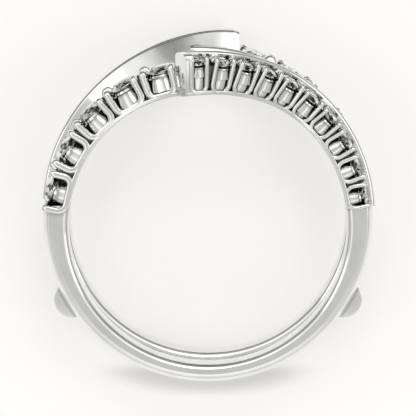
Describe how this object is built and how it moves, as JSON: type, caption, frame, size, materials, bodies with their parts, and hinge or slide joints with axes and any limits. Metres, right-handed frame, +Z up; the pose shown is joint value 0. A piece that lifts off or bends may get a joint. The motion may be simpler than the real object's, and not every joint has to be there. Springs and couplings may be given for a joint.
{
  "type": "ring guard enhancer",
  "caption": "Two narrow bands joined by small bridges, opening over the top into crossing prong-set stone arms that frame a solitaire ring worn in the gap.",
  "frame": {"origin": "centre of the finger hole, midway between the two bands", "axes": "the ring lies on its side as it rests on a flat surface: +Z up, +Y from the plain bottom of the ring towards its stone-set top, +X to the right seen from above"},
  "size_m": [0.0208, 0.0225, 0.0143],
  "materials": {
    "white_metal": "high polish white precious metal",
    "small_stones": "clear brilliant-cut stone",
    "large_stones": "clear brilliant-cut stone"
  },
  "bodies": {
    "root": {"mounting": "white_metal", "small_stone_1": "small_stones", "small_stone_2": "small_stones", "small_stone_3": "small_stones", "small_stone_4": "small_stones", "small_stone_5": "small_stones", "small_stone_6": "small_stones", "small_stone_7": "small_stones", "small_stone_8": "small_stones", "small_stone_9": "small_stones", "small_stone_10": "small_stones", "small_stone_11": "small_stones", "small_stone_12": "small_stones", "small_stone_13": "small_stones", "small_stone_14": "small_stones", "small_stone_15": "small_stones", "small_stone_16": "small_stones", "small_stone_17": "small_stones", "small_stone_18": "small_stones", "small_stone_19": "small_stones", "small_stone_20": "small_stones", "large_stone_1": "large_stones", "large_stone_2": "large_stones", "large_stone_3": "large_stones", "large_stone_4": "large_stones", "large_stone_5": "large_stones", "large_stone_6": "large_stones", "large_stone_7": "large_stones", "large_stone_8": "large_stones", "large_stone_9": "large_stones", "large_stone_10": "large_stones"}
  },
  "joints": []
}
